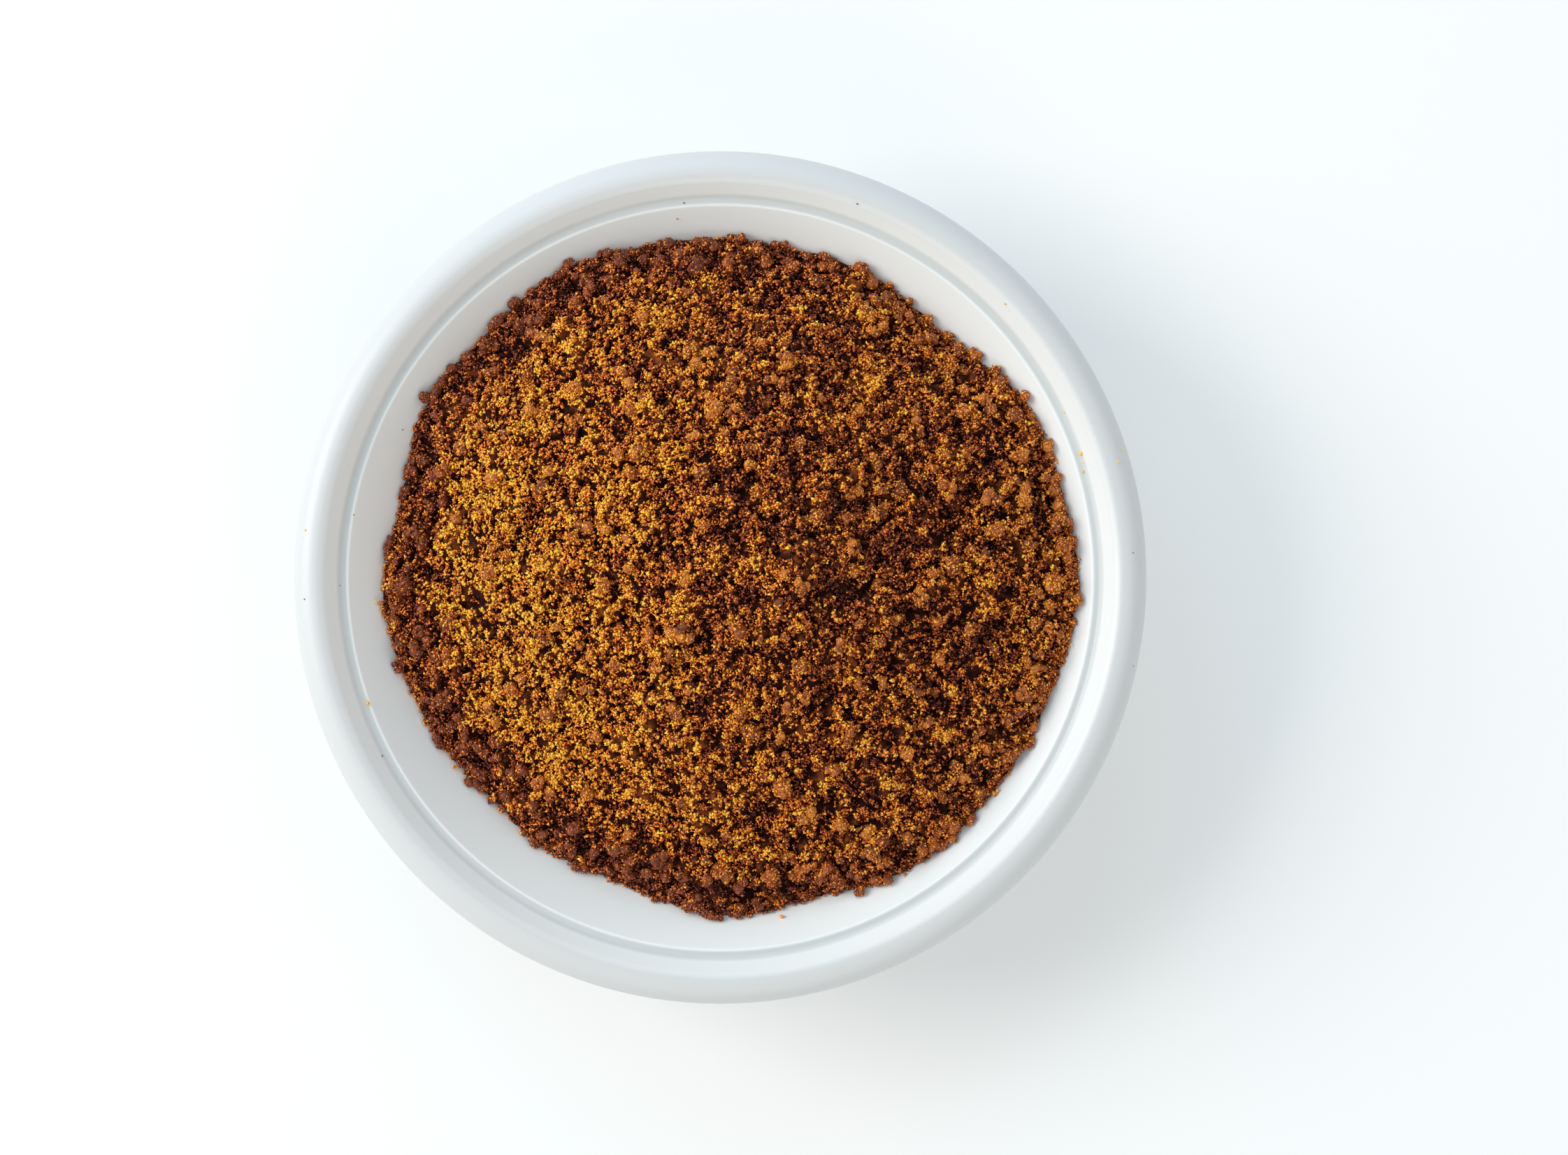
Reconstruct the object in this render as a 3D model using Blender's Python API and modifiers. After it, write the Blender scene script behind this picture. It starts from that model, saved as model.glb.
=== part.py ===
"""A round white bowl with a heap of jaggery powder.

Two closed solids, in metres with +Z up: the glazed bowl, standing on its foot ring at z = 0,
and the heap of powder that fills it and rises over its rim. The origin is the middle of the
foot ring's underside. +X is the side on which the powder reaches furthest up the wall.
"""

import math
import random

import bmesh
import bpy
from mathutils import Euler, Vector, noise

MM = 0.001
OBJECT_NAME = "jaggery_powder_bowl"

# The bowl: driving sizes
RIM_RADIUS = 75.0 * MM
RIM_HEIGHT = 36.0 * MM
ROLL_TOP_RADIUS = 70.64 * MM
ROLL_DROP = 4.5 * MM
LEDGE_OUTER_RADIUS = 69.12 * MM
LEDGE_INNER_RADIUS = 67.69 * MM
GROOVE_RADIUS = 66.62 * MM
WALL_TOP_RADIUS = 65.41 * MM
WALL_TOP_DROP = 3.5 * MM
WALL_TOP_SLOPE = math.radians(45.0)
WALL_POWER = 2.5
WALL_THICKNESS = 4.0 * MM
FOOT_OUTER_RADIUS = 31.0 * MM
FOOT_INNER_RADIUS = 27.0 * MM
FOOT_RECESS = 2.0 * MM
BOWL_STEPS = 60

# The bowl: sizes that follow, with the inner wall rising as a power of the radius
WALL_DEPTH = WALL_TOP_RADIUS * math.tan(WALL_TOP_SLOPE) / WALL_POWER
FLOOR_HEIGHT = RIM_HEIGHT - WALL_TOP_DROP - WALL_DEPTH

# The heap: its edge seen from above, as a mean radius and waves of (lobes, swing, lag in degrees)
EDGE_RADIUS = 59.6 * MM
EDGE_WAVES = (
    (1, 2.10 * MM, 21),
    (2, 1.28 * MM, -56),
    (3, 0.26 * MM, 13),
    (4, 0.57 * MM, 48),
    (6, 0.34 * MM, 89),
    (9, 0.45 * MM, -92),
    (12, 0.37 * MM, 1),
)

# The heap: its rise from the wall to the peak, which stands off the middle
PEAK_X = 3.7 * MM
PEAK_Y = 8.0 * MM
FOOT_RISE = 2.0 * MM
FOOT_POWER = 24
DOME_RISE = 20.0 * MM
DOME_ROUNDNESS = 0.35
BOWL_GAP = 0.35 * MM

# The heap: broad swells and hollows on its flanks, as (x, y, reach, height)
SWELLS = (
    (-16 * MM, 40 * MM, 13 * MM, 1.8 * MM),
    (9 * MM, 33 * MM, 10 * MM, 1.4 * MM),
    (-9 * MM, -26 * MM, 12 * MM, 2.2 * MM),
    (33 * MM, -40 * MM, 9 * MM, 1.5 * MM),
    (50 * MM, -22 * MM, 8 * MM, 1.2 * MM),
    (-37 * MM, 20 * MM, 9 * MM, 1.5 * MM),
    (-29 * MM, -8 * MM, 9 * MM, 1.4 * MM),
    (12 * MM, -2 * MM, 11 * MM, 1.4 * MM),
    (32 * MM, 10 * MM, 11 * MM, -1.8 * MM),
    (10 * MM, -37 * MM, 9 * MM, 1.3 * MM),
    (-51 * MM, 7 * MM, 7 * MM, -1.2 * MM),
)

# The heap: small bumps of its surface, as (width, height)
BUMPS = ((9.0 * MM, 1.3 * MM), (4.5 * MM, 0.8 * MM))

# The heap: mesh rings over the top and underneath, and segments round it
TOP_RINGS = 22
UNDER_RINGS = 5
HEAP_SEGMENTS = 76
RING_CROWDING = 1.1

# The lumps of hard jaggery fused to the heap: how many lie round its foot and over its face
FOOT_LUMPS = 80
FACE_LUMPS = 72
FOOT_BAND = (0.87, 0.985)
FACE_BAND = (0.10, 0.86)
LUMP_LARGEST = 4.4 * MM
LUMP_SMALLEST = 1.9 * MM
LUMP_RISE = 0.16
LUMP_SEED = 7
TURN_STEP = 0.7549
SHARE_STEP = 0.5698


def clear_scene():
    """Remove whatever the file holds."""
    for old in list(bpy.data.objects):
        bpy.data.objects.remove(old)


def new_collection(name):
    """A collection linked to the scene."""
    collection = bpy.data.collections.new(name)
    bpy.context.scene.collection.children.link(collection)
    return collection


def new_material(name, colour, roughness):
    """A plain Principled material."""
    material = bpy.data.materials.new(name)
    material.use_nodes = True
    shader = material.node_tree.nodes["Principled BSDF"]
    shader.inputs["Base Color"].default_value = (*colour, 1.0)
    shader.inputs["Roughness"].default_value = roughness
    shader.inputs["Metallic"].default_value = 0.0
    return material


def new_object(name, bm, collection):
    """An object made from a bmesh, which is freed."""
    mesh = bpy.data.meshes.new(name)
    bm.to_mesh(mesh)
    bm.free()
    obj = bpy.data.objects.new(name, mesh)
    collection.objects.link(obj)
    return obj


def curve_points(middle, half_width, half_height, start, end, count):
    """Points along part of an ellipse in the XZ plane, with both ends."""
    points = []
    for index in range(count):
        angle = math.radians(start + (end - start) * index / (count - 1))
        x = middle[0] + half_width * math.cos(angle)
        z = middle[1] + half_height * math.sin(angle)
        points.append((x, z))
    return points


def wall_slope(radius):
    """Rise over run of the bowl's inner wall."""
    share = radius / WALL_TOP_RADIUS
    return math.tan(WALL_TOP_SLOPE) * share ** (WALL_POWER - 1.0)


def wall_height(radius, clearance=0.0):
    """Height of the bowl's inner wall, or of the surface that far inside it."""
    share = radius / WALL_TOP_RADIUS
    height = FLOOR_HEIGHT + WALL_DEPTH * share ** WALL_POWER
    return height + clearance * math.sqrt(1.0 + wall_slope(radius) ** 2)


def bowl_profile():
    """The bowl's section: up the inner wall, over the rim, down the outside, under the foot."""
    points = []
    inner_steps = 8
    for index in range(inner_steps):
        radius = WALL_TOP_RADIUS * index / inner_steps
        points.append((radius, wall_height(radius)))

    # crease, groove and sloping ledge inside the rim
    points.append((WALL_TOP_RADIUS, RIM_HEIGHT - WALL_TOP_DROP))
    points.append((GROOVE_RADIUS, RIM_HEIGHT - 3.0 * MM))
    points.append((LEDGE_INNER_RADIUS - 0.35 * MM, RIM_HEIGHT - 2.5 * MM))
    points.append((LEDGE_INNER_RADIUS, RIM_HEIGHT - 1.7 * MM))
    points.append((LEDGE_OUTER_RADIUS, RIM_HEIGHT - 0.6 * MM))

    # rounded roll of the rim, down to its outer edge, and the underside of the lip
    roll_middle = (ROLL_TOP_RADIUS, RIM_HEIGHT - ROLL_DROP)
    roll_width = RIM_RADIUS - ROLL_TOP_RADIUS
    points += curve_points(roll_middle, roll_width, ROLL_DROP, 90, 0, 6)
    lip_middle = (RIM_RADIUS - 1.2 * MM, RIM_HEIGHT - ROLL_DROP)
    points += curve_points(lip_middle, 1.2 * MM, 1.3 * MM, -45, -90, 2)
    points.append((RIM_RADIUS - 5.6 * MM, RIM_HEIGHT - ROLL_DROP - 2.2 * MM))

    # outside of the wall, as far from the inside as the wall is thick
    outer_top_radius = 65.0 * MM
    outer_low_radius = FOOT_OUTER_RADIUS + 3.5 * MM
    outer_steps = 5
    for index in range(outer_steps):
        radius = outer_top_radius + (outer_low_radius - outer_top_radius) * index / (outer_steps - 1)
        points.append((radius, wall_height(radius, -WALL_THICKNESS)))

    # foot ring, hollowed where it meets the wall, and the shallow recess within it
    points.append((FOOT_OUTER_RADIUS + 0.7 * MM, 4.6 * MM))
    points.append((FOOT_OUTER_RADIUS, 0.7 * MM))
    points.append((FOOT_OUTER_RADIUS - 0.6 * MM, 0.0))
    points.append((FOOT_INNER_RADIUS + 0.6 * MM, 0.0))
    points.append((FOOT_INNER_RADIUS, 0.6 * MM))
    points.append((FOOT_INNER_RADIUS - 1.0 * MM, FOOT_RECESS))
    points.append((0.0, FOOT_RECESS))
    return points


def make_bowl(collection):
    """The bowl, turned from its section."""
    bm = bmesh.new()
    last = None
    for x, z in bowl_profile():
        vertex = bm.verts.new((x, 0.0, z))
        if last is not None:
            bm.edges.new((last, vertex))
        last = vertex
    bowl = new_object("bowl", bm, collection)
    screw = bowl.modifiers.new("turned", "SCREW")
    screw.axis = "Z"
    screw.angle = 2.0 * math.pi
    screw.steps = BOWL_STEPS
    screw.render_steps = BOWL_STEPS
    screw.use_merge_vertices = True
    screw.merge_threshold = 0.00001
    screw.use_smooth_shade = True
    bowl.data.materials.append(new_material("white_glaze", (0.86, 0.87, 0.88), 0.12))
    return bowl


def edge_radius(turn):
    """Radius of the powder's ragged edge at an angle round the bowl."""
    radius = EDGE_RADIUS
    for lobes, swing, lag in EDGE_WAVES:
        radius += swing * math.cos(lobes * turn - math.radians(lag))
    return radius


def dome(share):
    """A rounded cone: 1 at the peak, 0 at the edge."""
    rim_term = math.sqrt(1.0 + DOME_ROUNDNESS ** 2)
    here_term = math.sqrt(share ** 2 + DOME_ROUNDNESS ** 2)
    return (rim_term - here_term) / (rim_term - DOME_ROUNDNESS)


def relief(x, y):
    """Swells, hollows and small bumps that stand on the dome."""
    height = 0.0
    for swell_x, swell_y, reach, rise in SWELLS:
        away = ((x - swell_x) ** 2 + (y - swell_y) ** 2) / reach ** 2
        height += rise * math.exp(-away)
    for width, rise in BUMPS:
        height += rise * noise.noise(Vector((x / width, y / width, width / MM)))
    return height


def heap_point(share, turn):
    """Point on the heap's surface, a share of the way from its peak to its edge."""
    radius = edge_radius(turn)
    x = PEAK_X + share * (radius * math.cos(turn) - PEAK_X)
    y = PEAK_Y + share * (radius * math.sin(turn) - PEAK_Y)
    mean_edge = wall_height(EDGE_RADIUS, BOWL_GAP)
    edge = wall_height(radius, BOWL_GAP)
    z = mean_edge + (edge - mean_edge) * share ** 3
    z += FOOT_RISE * math.sqrt(max(0.0, 1.0 - share ** FOOT_POWER))
    z += DOME_RISE * dome(share)
    z += relief(x, y) * (1.0 - share ** 12)
    return Vector((x, y, z))


def under_point(share, turn):
    """Point on the heap's underside, which lies in the bowl."""
    radius = edge_radius(turn)
    x = PEAK_X + share * (radius * math.cos(turn) - PEAK_X)
    y = PEAK_Y + share * (radius * math.sin(turn) - PEAK_Y)
    return Vector((x, y, wall_height(math.hypot(x, y), BOWL_GAP)))


def make_heap_core(collection):
    """The heap without its lumps: a sphere whose rings are moved onto the powder's surface."""
    rings = TOP_RINGS + UNDER_RINGS
    bm = bmesh.new()
    bmesh.ops.create_uvsphere(bm, u_segments=HEAP_SEGMENTS, v_segments=rings, radius=1.0)
    for vertex in bm.verts:
        ring = round(math.acos(max(-1.0, min(1.0, vertex.co.z))) / math.pi * rings)
        turn = math.atan2(vertex.co.y, vertex.co.x)
        if ring <= TOP_RINGS:
            crowded = math.sin(RING_CROWDING * ring / TOP_RINGS)
            vertex.co = heap_point(crowded / math.sin(RING_CROWDING), turn)
        else:
            vertex.co = under_point((rings - ring) / UNDER_RINGS, turn)
    bmesh.ops.triangulate(bm, faces=bm.faces)
    return new_object("jaggery_heap", bm, collection)


def surface_normal(share, turn):
    """Outward direction of the heap's surface."""
    step = 0.01
    here = heap_point(share, turn)
    along = heap_point(share - step, turn) - here
    across = heap_point(share, turn + step) - here
    return across.cross(along).normalized()


def lump_sizes(count, draw):
    """Diameters from the largest down, with a little chance in each."""
    sizes = []
    for index in range(count):
        fall = (index / (count - 1)) ** 0.6
        size = LUMP_LARGEST * (LUMP_SMALLEST / LUMP_LARGEST) ** fall
        sizes.append(size * draw.uniform(0.9, 1.08))
    return sizes


def lump_places(draw):
    """(centre, diameter) of each lump: large to small, spread evenly round the foot and the face."""
    places = []
    for count, band in ((FOOT_LUMPS, FOOT_BAND), (FACE_LUMPS, FACE_BAND)):
        for index, size in enumerate(lump_sizes(count, draw)):
            turn = math.tau * index * TURN_STEP + draw.uniform(-0.04, 0.04)
            inner, outer = band[0] ** 2, band[1] ** 2
            share = math.sqrt(inner + (outer - inner) * ((0.5 + index * SHARE_STEP) % 1.0))
            centre = heap_point(share, turn)
            centre += surface_normal(share, turn) * size * draw.uniform(0.4, 1.0) * LUMP_RISE
            places.append((centre, size))
    return places


def clear_of_bowl(centre, size):
    """The lump's centre, moved off the bowl's wall where it would touch it."""
    radius = math.hypot(centre.x, centre.y)
    slope = wall_slope(radius)
    away = (centre.z - wall_height(radius)) / math.sqrt(1.0 + slope ** 2)
    short = max(0.0, BOWL_GAP + 0.6 * size - away)
    inward = Vector((-slope * centre.x / radius, -slope * centre.y / radius, 1.0)).normalized()
    return centre + inward * short


def crowds(centre, size, others):
    """Whether a lump would sink into one of the others."""
    for other_centre, other_size in others:
        if (centre - other_centre).length < 0.5 * other_size + 0.38 * size:
            return True
    return False


def make_lump(centre, size, draw, collection):
    """One rounded, uneven lump."""
    turned = Euler([draw.uniform(0.0, math.tau) for _ in range(3)]).to_matrix()
    stretch = Vector((1.08, draw.uniform(0.82, 1.0), draw.uniform(0.68, 0.9)))
    bm = bmesh.new()
    bmesh.ops.create_icosphere(bm, subdivisions=1, radius=0.5 * size)
    for vertex in bm.verts:
        vertex.co = centre + turned @ (vertex.co * stretch * draw.uniform(0.9, 1.06))
    new_object("lump", bm, collection)


def make_lumps(collection):
    """All the lumps, partly sunk in the powder, each clear of the bowl and of the others."""
    draw = random.Random(LUMP_SEED)
    kept = []
    for centre, size in lump_places(draw):
        centre = clear_of_bowl(centre, size)
        if not crowds(centre, size, kept):
            kept.append((centre, size))
            make_lump(centre, size, draw, collection)


def make_heap(collection):
    """The heap of powder, with its lumps fused on."""
    heap = make_heap_core(collection)
    lumps = new_collection("lumps")
    make_lumps(lumps)
    fuse = heap.modifiers.new("fused_lumps", "BOOLEAN")
    fuse.operation = "UNION"
    fuse.operand_type = "COLLECTION"
    fuse.collection = lumps
    fuse.solver = "EXACT"
    graph = bpy.context.evaluated_depsgraph_get()
    fused = bpy.data.meshes.new_from_object(heap.evaluated_get(graph))
    heap.modifiers.clear()
    heap.data = fused
    for lump in list(lumps.objects):
        bpy.data.objects.remove(lump)
    bpy.data.collections.remove(lumps)
    tidy_mesh(fused)
    fused.materials.clear()
    fused.materials.append(new_material("jaggery", (0.27, 0.115, 0.035), 0.75))
    return heap


def tidy_mesh(mesh):
    """Triangles only, with no slivers of zero width."""
    bm = bmesh.new()
    bm.from_mesh(mesh)
    bmesh.ops.dissolve_degenerate(bm, edges=bm.edges, dist=0.005 * MM)
    bmesh.ops.triangulate(bm, faces=bm.faces)
    bm.to_mesh(mesh)
    bm.free()


def main():
    """Build the bowl and its heap."""
    clear_scene()
    collection = new_collection(OBJECT_NAME)
    make_bowl(collection)
    make_heap(collection)


main()
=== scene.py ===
import math
import random

import bmesh
import bpy
import numpy as np
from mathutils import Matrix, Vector, noise


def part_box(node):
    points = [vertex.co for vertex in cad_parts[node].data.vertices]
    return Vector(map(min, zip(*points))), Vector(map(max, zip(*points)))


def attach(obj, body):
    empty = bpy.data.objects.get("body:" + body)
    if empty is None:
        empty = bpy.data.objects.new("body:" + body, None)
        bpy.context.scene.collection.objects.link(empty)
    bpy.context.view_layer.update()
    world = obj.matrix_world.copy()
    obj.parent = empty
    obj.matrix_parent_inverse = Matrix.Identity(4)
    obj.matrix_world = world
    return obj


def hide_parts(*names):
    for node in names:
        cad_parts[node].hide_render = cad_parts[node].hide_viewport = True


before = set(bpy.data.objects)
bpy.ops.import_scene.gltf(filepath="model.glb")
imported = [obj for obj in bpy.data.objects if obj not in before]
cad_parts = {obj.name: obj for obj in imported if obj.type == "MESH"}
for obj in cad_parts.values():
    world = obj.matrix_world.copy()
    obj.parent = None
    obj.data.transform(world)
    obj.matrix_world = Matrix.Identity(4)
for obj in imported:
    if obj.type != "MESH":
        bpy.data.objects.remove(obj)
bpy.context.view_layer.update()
mm = 0.001
draw = np.random.default_rng(21)  # every draw below comes from here, in order

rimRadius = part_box("bowl")[1].x
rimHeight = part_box("bowl")[1].z


def linkObject(name, mesh):
    obj = bpy.data.objects.new(name, mesh)
    bpy.context.scene.collection.objects.link(obj)
    return obj


def meshFromArrays(name, points, faces):
    # points is (n, 3), faces is (m, 3) or (m, 4)
    mesh = bpy.data.meshes.new(name)
    corners = faces.shape[1]
    mesh.vertices.add(len(points))
    mesh.vertices.foreach_set("co", points.astype(np.float32).ravel())
    mesh.loops.add(faces.size)
    mesh.loops.foreach_set("vertex_index", faces.astype(np.int32).ravel())
    mesh.polygons.add(len(faces))
    mesh.polygons.foreach_set("loop_start", np.arange(0, faces.size, corners, dtype=np.int32))
    mesh.update(calc_edges=True)
    mesh.validate()
    return mesh


def storeValue(mesh, name, values):
    # one number for each vertex, which the material reads
    attribute = mesh.attributes.new(name, "FLOAT", "POINT")
    attribute.data.foreach_set("value", values.astype(np.float32))


def noiseAt(points, width, offset=0.0):
    # smooth noise for many points, about -1 to 1, with features of that width
    scaled = points / width + offset
    return np.array([noise.noise(Vector(p)) for p in scaled])


def unitRows(rows):
    return rows / np.linalg.norm(rows, axis=-1, keepdims=True)


# the bowl's section, which is also used by what lies on it
bowlForm = {
    "rollTopRadius": 70.64 * mm,     # where the rim is highest
    "rollDrop": 4.5 * mm,            # from there down to the rim's outer edge
    "rollInnerWidth": 3.05 * mm,     # the roll's inner flank, as an ellipse
    "grooveRadius": 66.75 * mm,
    "grooveDrop": 3.52 * mm,
    "wallTopRadius": 65.41 * mm,
    "wallTopDrop": 3.5 * mm,
    "wallPower": 2.5,
    "wallEnd": 0.5 * mm,             # how far before the wall's top its curve stops
    "wallThickness": 4.0 * mm,
    "lip": (1.2 * mm, 1.3 * mm),     # width and height of the rolled edge below
    "lipInside": (5.6 * mm, 2.2 * mm),   # in from the rim and down from the roll's middle
    "outsideTop": 65.0 * mm,         # radius where the outer wall starts
    "footSpread": 3.5 * mm,          # how far the wall's end stands out from the foot
    "footNeck": (0.7 * mm, 4.6 * mm),    # out from the foot, and its height
    "footOuterRadius": 31.0 * mm,
    "footInnerRadius": 27.0 * mm,
    "footEdges": (0.6 * mm, 0.7 * mm),   # the bevels of the foot ring
    "footRecess": 2.0 * mm,
    "recessSlope": 1.0 * mm,
    "corners": {                     # reach and points of each rounded corner
        "wallTop": (0.25 * mm, 5), "groove": (0.45 * mm, 7), "lip": (1.6 * mm, 6),
        "neck": (1.5 * mm, 6), "foot": (0.3 * mm, 4), "recess": (0.6 * mm, 4)},
    "arcs": {                        # start and end in degrees, and points
        "rollInside": (124, 92, 12), "rollOutside": (90, 0, 22), "lip": (-10, -90, 8)},
    "innerPoints": 40,
    "outerPoints": 18,
    "steps": 160,                    # segments round the bowl
    "mergeDistance": 0.01 * mm,
}
wallDepth = bowlForm["wallTopRadius"] / bowlForm["wallPower"]  # for a slope of 45 degrees at the top
floorHeight = rimHeight - bowlForm["wallTopDrop"] - wallDepth


def wallSlope(radius):
    return (radius / bowlForm["wallTopRadius"]) ** (bowlForm["wallPower"] - 1.0)


def wallHeight(radius, clearance=0.0):
    share = radius / bowlForm["wallTopRadius"]
    height = floorHeight + wallDepth * share ** bowlForm["wallPower"]
    return height + clearance * np.sqrt(1.0 + wallSlope(radius) ** 2)


def softCorner(before, corner, after, rounding):
    # a corner rounded over that reach on each side, as a short curve
    reach, count = rounding
    most = 0.45  # share of a side, so that two corners never meet
    before, corner, after = (np.array(p) for p in (before, corner, after))
    inward = corner + (before - corner) * min(most, reach / np.linalg.norm(before - corner))
    outward = corner + (after - corner) * min(most, reach / np.linalg.norm(after - corner))
    curve = []
    for t in np.linspace(0.0, 1.0, count):
        curve.append(tuple((1 - t) ** 2 * inward + 2 * t * (1 - t) * corner + t ** 2 * outward))
    return curve


def ellipsePart(middle, halfWidth, halfHeight, arc):
    turns = np.radians(np.linspace(*arc))
    return [(middle[0] + halfWidth * math.cos(t), middle[1] + halfHeight * math.sin(t)) for t in turns]


def bowlSection():
    # up the inner wall, over the rim, down the outside and under the foot
    form = bowlForm
    corners = form["corners"]
    arcs = form["arcs"]
    wallEnd = form["wallTopRadius"] - form["wallEnd"]
    inner = [(r, float(wallHeight(r))) for r in np.linspace(0.0, wallEnd, form["innerPoints"])]
    wallTop = (form["wallTopRadius"], rimHeight - form["wallTopDrop"])
    groove = (form["grooveRadius"], rimHeight - form["grooveDrop"])
    rollMiddle = (form["rollTopRadius"], rimHeight - form["rollDrop"])
    rollWidth = rimRadius - form["rollTopRadius"]
    rollInside = ellipsePart(rollMiddle, form["rollInnerWidth"], form["rollDrop"], arcs["rollInside"])
    rollOutside = ellipsePart(rollMiddle, rollWidth, form["rollDrop"], arcs["rollOutside"])
    lipWidth, lipHeight = form["lip"]
    lipMiddle = (rimRadius - lipWidth, rimHeight - form["rollDrop"])
    lip = ellipsePart(lipMiddle, lipWidth, lipHeight, arcs["lip"])
    lipInner = (rimRadius - form["lipInside"][0], rimHeight - form["rollDrop"] - form["lipInside"][1])
    lowRadius = form["footOuterRadius"] + form["footSpread"]
    outerRadii = np.linspace(form["outsideTop"], lowRadius, form["outerPoints"])
    outer = [(r, float(wallHeight(r, -form["wallThickness"]))) for r in outerRadii]
    bevel, sideBevel = form["footEdges"]
    footNeck = (form["footOuterRadius"] + form["footNeck"][0], form["footNeck"][1])
    footSide = (form["footOuterRadius"], sideBevel)
    footOut = (form["footOuterRadius"] - bevel, 0.0)
    footIn = (form["footInnerRadius"] + bevel, 0.0)
    footInside = (form["footInnerRadius"], bevel)
    recess = (form["footInnerRadius"] - form["recessSlope"], form["footRecess"])
    middle = (0.0, form["footRecess"])

    section = list(inner)
    section += softCorner(inner[-1], wallTop, groove, corners["wallTop"])
    section += softCorner(wallTop, groove, rollInside[0], corners["groove"])
    section += rollInside + rollOutside + lip[1:]
    section += softCorner(lip[-1], lipInner, outer[0], corners["lip"])
    section += outer
    section += softCorner(outer[-1], footNeck, footSide, corners["neck"])
    section += softCorner(footNeck, footSide, footOut, corners["foot"])
    section += softCorner(footSide, footOut, footIn, corners["foot"])
    section += softCorner(footOut, footIn, footInside, corners["foot"])
    section += softCorner(footInside, recess, middle, corners["recess"])
    section.append(middle)
    return section


def restingHeight(radius):
    # height of the bowl's upper surface at a radius, for crumbs that lie on it
    section = bowlSection()
    widest = section.index(max(section, key=lambda point: point[0]))
    radii, heights = zip(*section[:widest + 1])
    return float(np.interp(radius, radii, heights))


# the heap's surface, shared by its core, lumps and crystals
heapForm = {
    "edgeRadius": 59.6 * mm,
    "edgeWaves": (                   # lobes round the edge, swing, lag in degrees
        (1, 1.60 * mm, 21), (2, 1.28 * mm, -56), (3, 0.26 * mm, 13), (4, 0.57 * mm, 48),
        (6, 0.34 * mm, 89), (9, 0.45 * mm, -92), (12, 0.37 * mm, 1)),
    "peak": (3.7 * mm, 8.0 * mm),
    "edgeBlend": 3,                  # how late the surface starts to follow the edge's height
    "footRise": 2.0 * mm,
    "footPower": 8,
    "domeRise": 20.0 * mm,
    "domeRoundness": 0.35,
    "bowlGap": 0.35 * mm,
    "swells": (                      # x, y, reach, height
        (-16, 40, 13, 1.8), (9, 33, 10, 1.4), (-9, -26, 12, 2.2), (33, -40, 9, 1.5),
        (50, -22, 8, 1.2), (-37, 20, 9, 1.5), (-29, -8, 9, 1.4), (12, -2, 11, 1.4),
        (32, 10, 11, -1.8), (10, -37, 9, 1.3), (-51, 7, 7, -1.2)),
    "bumps": ((9.0 * mm, 1.3 * mm), (4.5 * mm, 0.8 * mm)),  # width, height
    "swellFade": 12,                 # the swells and bumps end only close to the edge
}


def edgeRadius(turn):
    radius = heapForm["edgeRadius"] + np.zeros_like(turn)
    for lobes, swing, lag in heapForm["edgeWaves"]:
        radius += swing * np.cos(lobes * turn - math.radians(lag))
    return radius


def reliefAt(x, y):
    height = np.zeros_like(x)
    for swellX, swellY, reach, rise in heapForm["swells"]:
        away = ((x - swellX * mm) ** 2 + (y - swellY * mm) ** 2) / (reach * mm) ** 2
        height += rise * mm * np.exp(-away)
    for width, rise in heapForm["bumps"]:
        level = np.full_like(x, width * width / mm)
        height += rise * noiseAt(np.stack((x, y, level), axis=-1), width)
    return height


def heapPoint(share, turn):
    # points on the powder's surface, a share of the way from the peak to the edge
    radius = edgeRadius(turn)
    x = heapForm["peak"][0] + share * (radius * np.cos(turn) - heapForm["peak"][0])
    y = heapForm["peak"][1] + share * (radius * np.sin(turn) - heapForm["peak"][1])
    meanEdge = wallHeight(heapForm["edgeRadius"], heapForm["bowlGap"])
    edge = wallHeight(radius, heapForm["bowlGap"])
    roundness = heapForm["domeRoundness"]
    rimTerm = math.sqrt(1.0 + roundness ** 2)
    z = meanEdge + (edge - meanEdge) * share ** heapForm["edgeBlend"]
    z += heapForm["footRise"] * np.sqrt(np.clip(1.0 - share ** heapForm["footPower"], 0.0, 1.0))
    z += heapForm["domeRise"] * (rimTerm - np.sqrt(share ** 2 + roundness ** 2)) / (rimTerm - roundness)
    z += reliefAt(x, y) * (1.0 - share ** heapForm["swellFade"])
    return np.stack((x, y, z), axis=-1)


def heapNormal(share, turn):
    step = 0.01
    leastShare = 0.02  # at the peak itself the turn has no meaning
    share = np.maximum(share, leastShare)
    here = heapPoint(share, turn)
    along = heapPoint(share - step, turn) - here
    across = heapPoint(share, turn + step / share) - here
    return unitRows(np.cross(across, along))


steepestShare = 0.995  # closer to the edge the surface turns too steep for a normal


def discPlace(a, b):
    # a point of the square -1 to 1 as (share, turn) of a disc, with areas kept alike
    wide = np.abs(a) > np.abs(b)
    safeA = np.where(a == 0.0, 1e-9, a)
    safeB = np.where(b == 0.0, 1e-9, b)
    reach = np.where(wide, a, b)
    turn = np.where(wide, math.pi / 4 * b / safeA, math.pi / 2 - math.pi / 4 * a / safeB)
    turn = np.where(reach < 0.0, turn + math.pi, turn)
    return np.abs(reach), turn


def keepOffBowl(centres, reach):
    # move what would touch the bowl's wall inwards, off it
    gap = 0.1 * mm
    radius = np.hypot(centres[:, 0], centres[:, 1])
    radius = np.clip(radius, 1e-6, bowlForm["wallTopRadius"])
    slope = wallSlope(radius)
    away = (centres[:, 2] - wallHeight(radius)) / np.sqrt(1.0 + slope ** 2)
    short = np.maximum(0.0, reach + gap - away)
    inward = np.stack((-slope * centres[:, 0] / radius, -slope * centres[:, 1] / radius,
                       np.ones_like(radius)), axis=-1)
    return centres + unitRows(inward) * short[:, None]


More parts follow.
